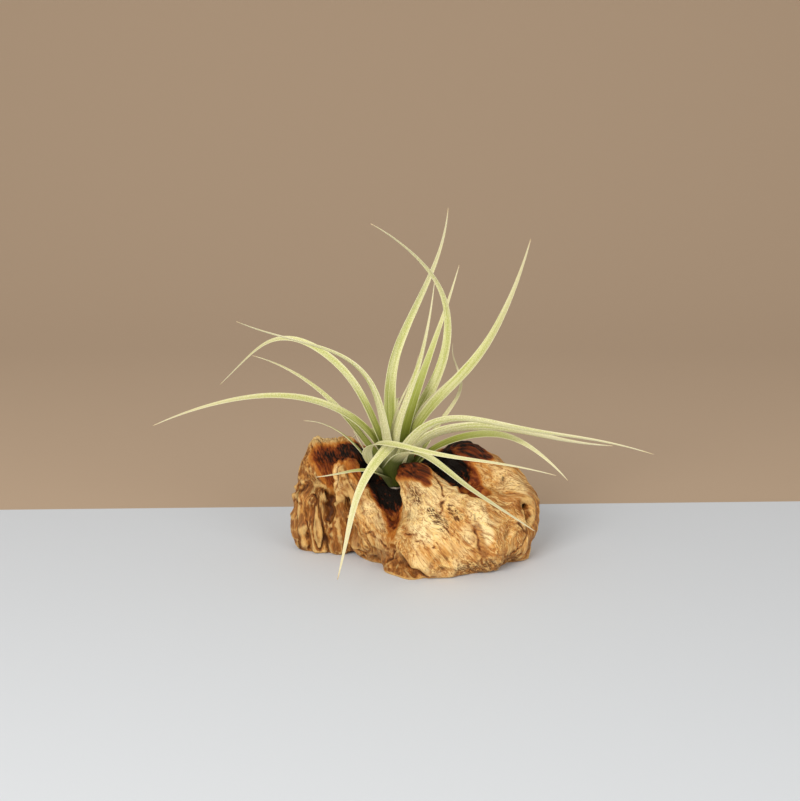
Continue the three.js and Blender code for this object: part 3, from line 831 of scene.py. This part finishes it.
def wood_material(settings):
    """Root wood, sandblasted by weather and scorched with a flame: golden, with pale and brown
    streaks along the fibres, dark pores, rubbed ridges with a painted highlight, dirt and painted shade
    in the hollows, and a soft-edged black char."""
    material, tree, shader = new_material("weathered_driftwood")
    grain = add_node(tree, "ShaderNodeAttribute", attribute_name="grain").node.outputs["Vector"]
    patterns = add_patterns(tree, grain, WOOD_PATTERNS)
    for name in ("cracks", "seams"):
        from_middle = add_math(tree, "SUBTRACT", patterns[name], 0.5)
        patterns[name] = add_math(tree, "ABSOLUTE", from_middle)
    for name in ("burnt", "stained", "bleached", "specked", "cracked", "fine_hollow", "wide_hollow"):
        patterns[name] = read_attribute(tree, name)
    uneven = map_range(tree, patterns["streaks"], 0.3, 0.7, 0.72, 1.25)
    patterns["char"] = add_math(tree, "MULTIPLY", patterns["burnt"], uneven)

    hairlines = map_range(tree, patterns["cracks"], 0.02, 0, high=0.15)
    grit = add_math(tree, "ADD", patterns["fibres"], patterns["pores"])
    grit = add_math(tree, "ADD", grit, hairlines)
    inputs = {
        "Base Color": add_layers(tree, settings, "golden", WOOD_LAYERS, patterns),
        "Roughness": map_range(tree, patterns["char"], 0.3, 0.9, 0.5, 0.65),
        "Specular IOR Level": 0.2,
        "Normal": add_bump(tree, grit, strength=1, distance=0.8 * MM, invert=True),
    }
    set_inputs(tree, shader, inputs)
    return material


class AIRPLANT_OT_driftwood(bpy.types.Operator):
    """Carve the driftwood block"""

    bl_idname = "air_plant.driftwood"
    bl_label = "Driftwood"

    def execute(self, context):
        settings = context.scene.air_plant_driftwood
        mesh = wood_mesh(settings)
        mesh.materials.append(wood_material(settings))
        link_mesh("driftwood_block", mesh, "driftwood")
        return {"FINISHED"}


# ---- The stem ----

STEM_SIDES = 72
STEM_RINGS = 60
FIBRE_HEIGHT = 0.35
FIBRE_LENGTH = 5
FIBRES_ROUND = 7  # marks in a radian round the stem


def stem_radius(height):
    """The smooth stem's radius, in millimetres, at a height in the row frame."""
    return np.interp(height, (BUTT_Z, COLLAR_Z, CROWN_Z), (BUTT_RADIUS, COLLAR_RADIUS, CROWN_RADIUS))


def stem_mesh(settings):
    """The short stem: ringed by the scars of fallen leaves, with dry fibres down its sides."""
    heights = np.linspace(BUTT_Z, CROWN_Z, STEM_RINGS)
    turns = np.arange(STEM_SIDES) / STEM_SIDES * 2 * math.pi
    height, turn = (grid.ravel() for grid in np.meshgrid(heights, turns, indexing="ij"))
    scars = np.abs(np.sin(math.pi * height * MM / settings.scar_spacing))
    round_stem = np.stack([np.cos(turn), np.sin(turn)], 1) * FIBRES_ROUND
    fibres = lattice_noise(np.column_stack([round_stem, height / FIBRE_LENGTH]), seed=31)
    radius = stem_radius(height) - settings.scar_height / MM * scars + FIBRE_HEIGHT * fibres
    points = [STEM_X + radius * np.cos(turn), STEM_Y + radius * np.sin(turn), height]
    grid = np.arange(STEM_RINGS * STEM_SIDES).reshape(STEM_RINGS, STEM_SIDES)
    onward = np.roll(grid, -1, axis=1)
    sides = np.stack([grid[:-1], onward[:-1], onward[1:], grid[1:]], -1).reshape(-1, 4).tolist()
    ends = [grid[0][::-1].tolist(), grid[-1].tolist()]
    return new_mesh("stem", np.stack(points, 1) * MM, sides + ends)


def stem_material(settings):
    """Dry bark of old leaf bases: papery, pale grey, with dark lines between the fibres."""
    material, tree, shader = new_material("dry_leaf_base_bark")
    place = add_node(tree, "ShaderNodeTexCoord").node.outputs["Object"]
    in_mm = add_node(tree, "ShaderNodeVectorMath", {0: place, "Scale": 1 / MM}, operation="SCALE")
    patterns = add_patterns(tree, in_mm, {"fibres": ((0.7, 0.7, 6), 3), "stains": ((4, 4, 4), 2)})
    layers = [
        ("fibre_shadow", 0.8, ("fibres", 0.5, 0.66)),
        ("fibre_shadow", 0.5, ("stains", 0.5, 0.7)),
    ]
    inputs = {
        "Base Color": add_layers(tree, settings, "bark", layers, patterns),
        "Roughness": 0.85,
        "Normal": add_bump(tree, patterns["fibres"], strength=0.8, distance=0.4 * MM),
    }
    set_inputs(tree, shader, inputs)
    return material


class AIRPLANT_OT_stem(bpy.types.Operator):
    """Turn the short stem"""

    bl_idname = "air_plant.stem"
    bl_label = "Stem"

    def execute(self, context):
        settings = context.scene.air_plant_stem
        mesh = stem_mesh(settings)
        mesh.materials.append(stem_material(settings))
        link_mesh("stem_bark", mesh, "stem")
        return {"FINISHED"}


# ---- The leaves ----

LEAF_SIDES = 28
LEAF_RINGS = 96
ROOT_WIDTH_SHARE = 0.5  # of the sheath's width, where a leaf leaves the stem
ROOT_RISE = 9  # distance in which the root widens to the sheath
TIP_WIDTH_SHARE = 0.04
WANDER_SIZE = 28  # length over which a blade's width wanders
TIP_START = 0.52  # share of its length at which a leaf starts to dry
DRY_TIP_START = 0.3  # how much nearer its root a dry leaf does
# The blade tree's inputs: those that are settings of the same name, and each leaf's own.
SHARED_INPUTS = (
    "Sheath length", "Root thickness", "Tip thickness", "Sheath curl", "Blade curl", "Unevenness"
)
LEAF_INPUTS = ("Length", "Blade width", "Sheath width", "Green root", "Seed")


def direction(heading, climb):
    """The direction of a compass heading and a climb angle, in degrees."""
    turn, rise = math.radians(heading), math.radians(climb)
    return Vector((math.cos(rise) * math.cos(turn), math.cos(rise) * math.sin(turn), math.sin(rise)))


def guide_direction(bearings, share):
    """The direction at a share of the leaf's length: a Catmull-Rom curve through the bearings."""
    ends = [bearings[0] * 2 - bearings[1], *bearings, bearings[-1] * 2 - bearings[-2]]
    place = share * (len(bearings) - 1)
    first = min(int(place), len(bearings) - 2)
    a, b, c, d = ends[first : first + 4]
    x = place - first
    slope_in, slope_out = (c - a) / 2, (d - b) / 2
    curve = (
        b
        + slope_in * x
        + (3 * (c - b) - 2 * slope_in - slope_out) * x**2
        + (2 * (b - c) + slope_in + slope_out) * x**3
    )
    return curve.normalized()


def leaf_spine(leaf):
    """Points from root to tip, in millimetres, and the direction of the leaf's upper face at each."""
    side, height = leaf.seat
    bearings = [direction(h, c) for h, c in zip(leaf.headings, leaf.climbs)]
    steps = round(leaf.length / GUIDE_SPACING)
    reach = stem_radius(height) + SEAT_GAP
    tangent = guide_direction(bearings, 0)
    upper = direction(leaf.headings[0], leaf.climbs[0] + 90)
    place = direction(side, 0) * reach + Vector((STEM_X, STEM_Y, height))
    points, uppers = [place - tangent * ROOT_SINK], [upper.copy()]
    for step in range(steps + 1):
        onward = guide_direction(bearings, step / steps)
        upper.rotate(tangent.rotation_difference(onward))
        tangent = onward
        points.append(place.copy())
        rolled = upper.copy()
        rolled.rotate(Quaternion(tangent, math.radians(leaf.roll) * min(step / steps / ROLL_SHARE, 1)))
        uppers.append(rolled)
        place += guide_direction(bearings, min((step + 0.5) / steps, 1)) * leaf.length / steps
    return points, uppers


def spine_mesh(name, leaf):
    """The spine as a line of edges that carries the upper face's direction."""
    points, uppers = leaf_spine(leaf)
    mesh = bpy.data.meshes.new(name)
    mesh.from_pydata([p * MM for p in points], [(i, i + 1) for i in range(len(points) - 1)], [])
    flat = [value for upper in uppers for value in upper]
    mesh.attributes.new("upper", "FLOAT_VECTOR", "POINT").data.foreach_set("vector", flat)
    return mesh


def blade_tree():
    """Geometry Nodes that sweep a curled, pointed blade along a spine."""
    tree = bpy.data.node_groups.new("Curled blade", "GeometryNodeTree")
    tree.interface.new_socket("Geometry", in_out="OUTPUT", socket_type="NodeSocketGeometry")
    kinds = {
        "Geometry": "Geometry",
        **dict.fromkeys(LEAF_INPUTS + SHARED_INPUTS, "Float"),
        "Material": "Material",
    }
    for name, kind in kinds.items():
        tree.interface.new_socket(name, in_out="INPUT", socket_type=f"NodeSocket{kind}")
    given = tree.nodes.new("NodeGroupInput").outputs

    add, subtract, multiply, divide = (
        partial(add_math, tree, operation) for operation in ("ADD", "SUBTRACT", "MULTIPLY", "DIVIDE")
    )

    def vector_node(operation, *values):
        return add_node(tree, "ShaderNodeVectorMath", dict(enumerate(values)), operation=operation)

    def scaled(vector, factor):
        return add_node(tree, "ShaderNodeVectorMath", {0: vector, "Scale": factor}, operation="SCALE")

    # A plain tube: round it runs the section, along it the leaf.
    tube = add_node(
        tree,
        "GeometryNodeMeshCylinder",
        {"Vertices": LEAF_SIDES, "Side Segments": LEAF_RINGS, "Radius": 1, "Depth": 1},
        fill_type="NGON",
    )
    position = add_node(tree, "GeometryNodeInputPosition")
    parts = add_node(tree, "ShaderNodeSeparateXYZ", {0: position}).node.outputs
    across, face = parts["X"], parts["Y"]
    along = add(parts["Z"], 0.5)
    reach = multiply(along, given["Length"])

    # The spine's place, direction and upper face there.
    spine = add_node(tree, "GeometryNodeMeshToCurve", {"Mesh": given["Geometry"]})
    upper = add_node(tree, "GeometryNodeInputNamedAttribute", {"Name": "upper"}, data_type="FLOAT_VECTOR")
    sample = add_node(
        tree,
        "GeometryNodeSampleCurve",
        {"Curves": spine, "Value": upper, "Factor": along},
        data_type="FLOAT_VECTOR",
        mode="FACTOR",
    ).node.outputs
    tangent = sample["Tangent"]
    slip = vector_node("DOT_PRODUCT", sample["Value"], tangent).node.outputs["Value"]
    upward = vector_node("NORMALIZE", vector_node("SUBTRACT", sample["Value"], scaled(tangent, slip)))
    sideways = vector_node("CROSS_PRODUCT", upward, tangent)

    # Width: a flared sheath that narrows to the blade, which tapers to a point and wanders a little.
    in_sheaths = divide(reach, given["Sheath length"])
    sheath = add_math(tree, "EXPONENT", multiply(add_math(tree, "POWER", in_sheaths, 2), -1))
    place = add(divide(reach, WANDER_SIZE * MM), given["Seed"])
    inputs = {"W": place, "Scale": 1, "Detail": 1}
    wander = add_node(tree, "ShaderNodeTexNoise", inputs, noise_dimensions="1D")
    uneven = multiply(subtract(wander, 0.5), given["Unevenness"])
    taper = map_range(tree, subtract(1, along), 0, 1, TIP_WIDTH_SHARE)
    blade = multiply(taper, add(1, uneven))
    blade = multiply(blade, given["Blade width"])
    flare = multiply(sheath, subtract(given["Sheath width"], given["Blade width"]))
    root = map_range(tree, reach, 0, ROOT_RISE * MM, ROOT_WIDTH_SHARE, interpolation_type="SMOOTHSTEP")
    half_width = multiply(add(blade, flare), divide(root, 2))

    # The section is an arc, thickest in the middle.
    inputs = {"Factor": sheath, "A": given["Blade curl"], "B": given["Sheath curl"]}
    curl = add_node(tree, "ShaderNodeMix", inputs)
    angle = multiply(curl, across)
    sine, cosine = add_math(tree, "SINE", angle), add_math(tree, "COSINE", angle)
    radius = divide(half_width, curl)
    inputs = {"Factor": along, "A": given["Root thickness"], "B": given["Tip thickness"]}
    thickness = add_node(tree, "ShaderNodeMix", inputs)
    skin = multiply(multiply(face, 0.5), thickness)
    out_sideways = multiply(sine, subtract(radius, skin))
    rise = multiply(subtract(1, cosine), radius)
    out_upward = add(rise, multiply(skin, cosine))
    offset = vector_node("ADD", scaled(sideways, out_sideways), scaled(upward, out_upward))
    place = vector_node("ADD", sample["Position"], offset)

    result = tube
    for name, value in {
        "along": along,
        "reach": divide(reach, MM),
        "across": multiply(across, divide(half_width, MM)),
        "edge": add_math(tree, "ABSOLUTE", across),
        "green_root": given["Green root"],
        "inner": map_range(tree, face, -0.2, 0.2),
    }.items():
        inputs = {"Geometry": result, "Name": name, "Value": value}
        result = add_node(tree, "GeometryNodeStoreNamedAttribute", inputs, data_type="FLOAT", domain="POINT")
    for kind, inputs in {
        "SetPosition": {"Position": place},
        "SetShadeSmooth": {},
        "RealizeInstances": {},
        "SetMaterial": {"Material": given["Material"]},
    }.items():
        result = add_node(tree, f"GeometryNode{kind}", {"Geometry": result, **inputs})
    add_node(tree, "NodeGroupOutput", {"Geometry": result})
    return tree


def grow_leaf(name, leaf, number, tree, material, settings):
    """Runs the blade tree on one leaf's spine and returns its finished mesh."""
    grower = add_object(name, spine_mesh(name, leaf))
    modifier = grower.modifiers.new("Blade", "NODES")
    modifier.node_group = tree
    width = leaf.width * settings.fullness
    values = {
        "Length": (leaf.length + ROOT_SINK) * MM,
        "Blade width": width * MM,
        "Sheath width": width * leaf.sheath * MM,
        "Green root": float(leaf.green_root),
        "Seed": float(number * 10),
        "Material": material,
    }
    values |= {key: getattr(settings, key.lower().replace(" ", "_")) for key in SHARED_INPUTS}
    for socket in tree.interface.items_tree:
        if socket.in_out == "INPUT" and socket.name in values:
            modifier[socket.identifier] = values[socket.name]
    depsgraph = bpy.context.evaluated_depsgraph_get()
    mesh = bpy.data.meshes.new_from_object(grower.evaluated_get(depsgraph), depsgraph=depsgraph)
    grower.modifiers.clear()
    bpy.data.objects.remove(grower)
    if not mesh.polygons:
        raise RuntimeError(f"the blade tree made nothing of the leaf {name}")
    return mesh


def leaf_material(name, settings, silveriness, dryness):
    """A living leaf under a felt of silvery scales: yellow-green and satin inside, greyer and matt
    outside, with fine lengthwise veins, thin pale margins and a dry straw-coloured tip, and with painted
    shade near the root, on the bulb and on blades that lie in shadow."""
    material, tree, shader = new_material(name)
    patterns = {
        key: read_attribute(tree, key) for key in ("along", "reach", "across", "edge", "inner", "green_root")
    }
    place = {"X": patterns["reach"], "Y": patterns["across"], "Z": patterns["inner"]}
    over_leaf = add_node(tree, "ShaderNodeCombineXYZ", place)
    sizes = {"veins": ((50, 0.9, 1), 2), "scales": ((0.9, 0.7, 1), 2), "flushes": ((22, 5, 1), 2)}
    patterns |= add_patterns(tree, over_leaf, sizes)
    tip_start = TIP_START - DRY_TIP_START * dryness
    colour = add_layers(
        tree,
        settings,
        "blade",
        [
            ("deep", 0.3, ("inner", 0.3, 0.7), ("edge", 0.75, 0.2), ("along", 0.95, 0.7)),
            ("deep", 0.35, ("flushes", 0.5, 0.68), ("along", 0.8, 0.5)),
            ("silver", 0.5 + 0.4 * silveriness, ("inner", 0.7, 0.3)),
            ("silver", 0.35 * silveriness, ("flushes", 0.55, 0.4)),
            ("deep", 0.5, ("veins", 0.52, 0.64), ("along", 0.95, 0.7)),
            ("margin", 0.5, ("scales", 0.54, 0.68)),
            ("deep", 0.5, ("scales", 0.46, 0.32), ("along", 0.9, 0.5)),
            # deeper green inside near the root, partly painted shade among the leaves' bases
            ("deep", 0.7, ("inner", 0.3, 0.7), ("reach", 58, 24)),
            ("shade", 0.4, ("veins", 0.54, 0.62), ("inner", 0.3, 0.7), ("reach", 70, 30)),
            ("margin", 0.3, ("veins", 0.48, 0.4), ("reach", 15, 40), ("along", 0.7, 0.3)),
            # painted shade: both faces darken near the root, where the leaves hide each other
            ("shade", 0.85, ("inner", 0.3, 0.7), ("reach", 27, 11)),
            ("shade", 0.85, ("inner", 0.7, 0.3), ("reach", 23, 11)),
            # the bare deep green outside of a sheath, darkened further as painted shade on the shaded bulb
            ("shade", 0.97, ("green_root", 0, 1), ("reach", 42, 28), ("inner", 0.7, 0.3)),
            # greener lower blade, partly painted shade on blades that lie in shadow
            ("deep", 0.8, ("green_root", 1, 2), ("along", 0.75, 0.45)),
            ("shade", 0.35, ("green_root", 1, 2), ("along", 0.7, 0.4)),
            ("margin", 0.75, ("edge", 0.88, 0.97), ("reach", 14, 28)),
            ("tip", 0.85, ("along", tip_start, 0.95)),
            ("tip", 0.6 * dryness, ("reach", 15, 40)),
            ("tip_end", 0.6, ("along", 0.96, 1)),
        ],
        patterns,
    )
    relief = add_math(tree, "ADD", patterns["veins"], patterns["scales"])
    inputs = {
        "Base Color": colour,
        "Roughness": 0.55,
        "Specular IOR Level": 0.3,
        "Subsurface Weight": 0.08,
        "Subsurface Radius": (1, 1, 0.4),
        "Subsurface Scale": 1.2 * MM,
        "Sheen Weight": 0.02,
        "Normal": add_bump(tree, relief, strength=0.8, distance=0.35 * MM),
    }
    set_inputs(tree, shader, inputs)
    return material


class AIRPLANT_OT_leaves(bpy.types.Operator):
    """Grow the leaves from the stem"""

    bl_idname = "air_plant.leaves"
    bl_label = "Leaves"

    def execute(self, context):
        settings = context.scene.air_plant_leaves
        tree = blade_tree()
        materials = {
            "green": leaf_material("green_air_plant_leaf", settings, silveriness=0.3, dryness=0),
            "silver": leaf_material("silvery_air_plant_leaf", settings, silveriness=0.9, dryness=0),
            "dry": leaf_material("drying_air_plant_leaf", settings, silveriness=0.4, dryness=0.8),
        }
        for number, (name, leaf) in enumerate(LEAVES.items()):
            mesh = grow_leaf(name, leaf, number, tree, materials[leaf.tone], settings)
            link_mesh(f"blade_{name}", mesh, f"leaf_{name}")
        return {"FINISHED"}


# ---- The stage ----


def stage_sheet(name, rows, colour, roughness):
    """A plain sheet through rows of points."""
    width = len(rows[0])
    faces = [
        (r * width + c, r * width + c + 1, (r + 1) * width + c + 1, (r + 1) * width + c)
        for r, c in product(range(len(rows) - 1), range(width - 1))
    ]
    mesh = new_mesh(name, [point for row in rows for point in row], faces)
    material, tree, shader = new_material(name)
    set_inputs(tree, shader, {"Base Color": tuple(colour), "Roughness": roughness})
    mesh.materials.append(material)
    sheet = add_object(name, mesh)


def table_edge(x):
    """The y of the table's back edge."""
    (x0, y0), (x1, y1) = TABLE_BACK_LEFT, TABLE_BACK_RIGHT
    return y0 + (y1 - y0) * (x - x0) / (x1 - x0)


def add_light(name, power, place, size, colour):
    """A large soft square light."""
    data = bpy.data.lights.new(name, "AREA")
    data.energy = power
    data.size = size
    data.color = linear(colour)[:3]
    light = add_object(name, data)
    light.location = place
    light.rotation_euler = (Vector(LIGHT_AIM) - Vector(place)).to_track_quat("-Z", "Y").to_euler()


class AIRPLANT_OT_stage(bpy.types.Operator):
    """Set the floor, the backdrop, the lights and the camera"""

    bl_idname = "air_plant.stage"
    bl_label = "Stage"

    def execute(self, context):
        settings = context.scene.air_plant_stage
        sides = (-TABLE_HALF, TABLE_HALF)
        table = [[(x, -TABLE_HALF, 0) for x in sides], [(x, table_edge(x), 0) for x in sides]]
        stage_sheet("table_top", table, settings.table, TABLE_ROUGHNESS)
        turns = np.linspace(0, math.pi / 2, BACKDROP_STEPS)
        profile = [(BACKDROP_FRONT, 0)]
        for turn in turns:
            bend = BACKDROP_BEND + math.sin(turn) * BACKDROP_HEIGHT
            profile.append((bend, (1 - math.cos(turn)) * BACKDROP_HEIGHT))
        backdrop = [[(x * 2, y, z - BACKDROP_DROP) for x in sides] for y, z in profile]
        stage_sheet("backdrop", backdrop, settings.backdrop, BACKDROP_ROUGHNESS)

        add_light("key_light", settings.key_power, **KEY_LIGHT)
        add_light("fill_light", settings.fill_power, **FILL_LIGHT)
        world = bpy.data.worlds.new("soft_room")
        world.use_nodes = True
        background = world.node_tree.nodes["Background"].inputs
        background["Color"].default_value = linear(ROOM_COLOUR)
        background["Strength"].default_value = ROOM_STRENGTH
        context.scene.world = world

        data = bpy.data.cameras.new("photograph_view")
        data.lens = CAMERA_LENS
        data.clip_start = 0.01
        camera = add_object("photograph_view", data)
        camera.location = CAMERA_PLACE
        camera.rotation_euler = (math.radians(90 - CAMERA_TILT), 0, 0)
        context.scene.camera = camera
        context.scene.view_settings.view_transform = "Standard"
        return {"FINISHED"}


# ---- The add-on ----

SETTINGS = {
    "air_plant_driftwood": DriftwoodSettings,
    "air_plant_stem": StemSettings,
    "air_plant_leaves": LeafSettings,
    "air_plant_stage": StageSettings,
}
OPERATORS = (AIRPLANT_OT_driftwood, AIRPLANT_OT_stem, AIRPLANT_OT_leaves, AIRPLANT_OT_stage)


class VIEW3D_PT_air_plant(bpy.types.Panel):
    """Lists the pieces of the air plant and their settings"""

    bl_label = "Air Plant"
    bl_space_type = "VIEW_3D"
    bl_region_type = "UI"
    bl_category = "Air Plant"

    def draw(self, context):
        for operator, (name, group) in zip(OPERATORS, SETTINGS.items()):
            box = self.layout.box()
            box.operator(operator.bl_idname)
            for key in group.__annotations__:
                box.prop(getattr(context.scene, name), key, text=key.replace("_", " ").capitalize())


CLASSES = (*SETTINGS.values(), *OPERATORS, VIEW3D_PT_air_plant)


def register():
    for cls in CLASSES:
        bpy.utils.register_class(cls)
    for name, group in SETTINGS.items():
        setattr(bpy.types.Scene, name, bpy.props.PointerProperty(type=group))


def unregister():
    for name in SETTINGS:
        delattr(bpy.types.Scene, name)
    for cls in reversed(CLASSES):
        bpy.utils.unregister_class(cls)


def main():
    register()
    bpy.ops.air_plant.driftwood()
    bpy.ops.air_plant.stem()
    bpy.ops.air_plant.leaves()
    bpy.ops.air_plant.stage()


if __name__ == "__main__":
    main()
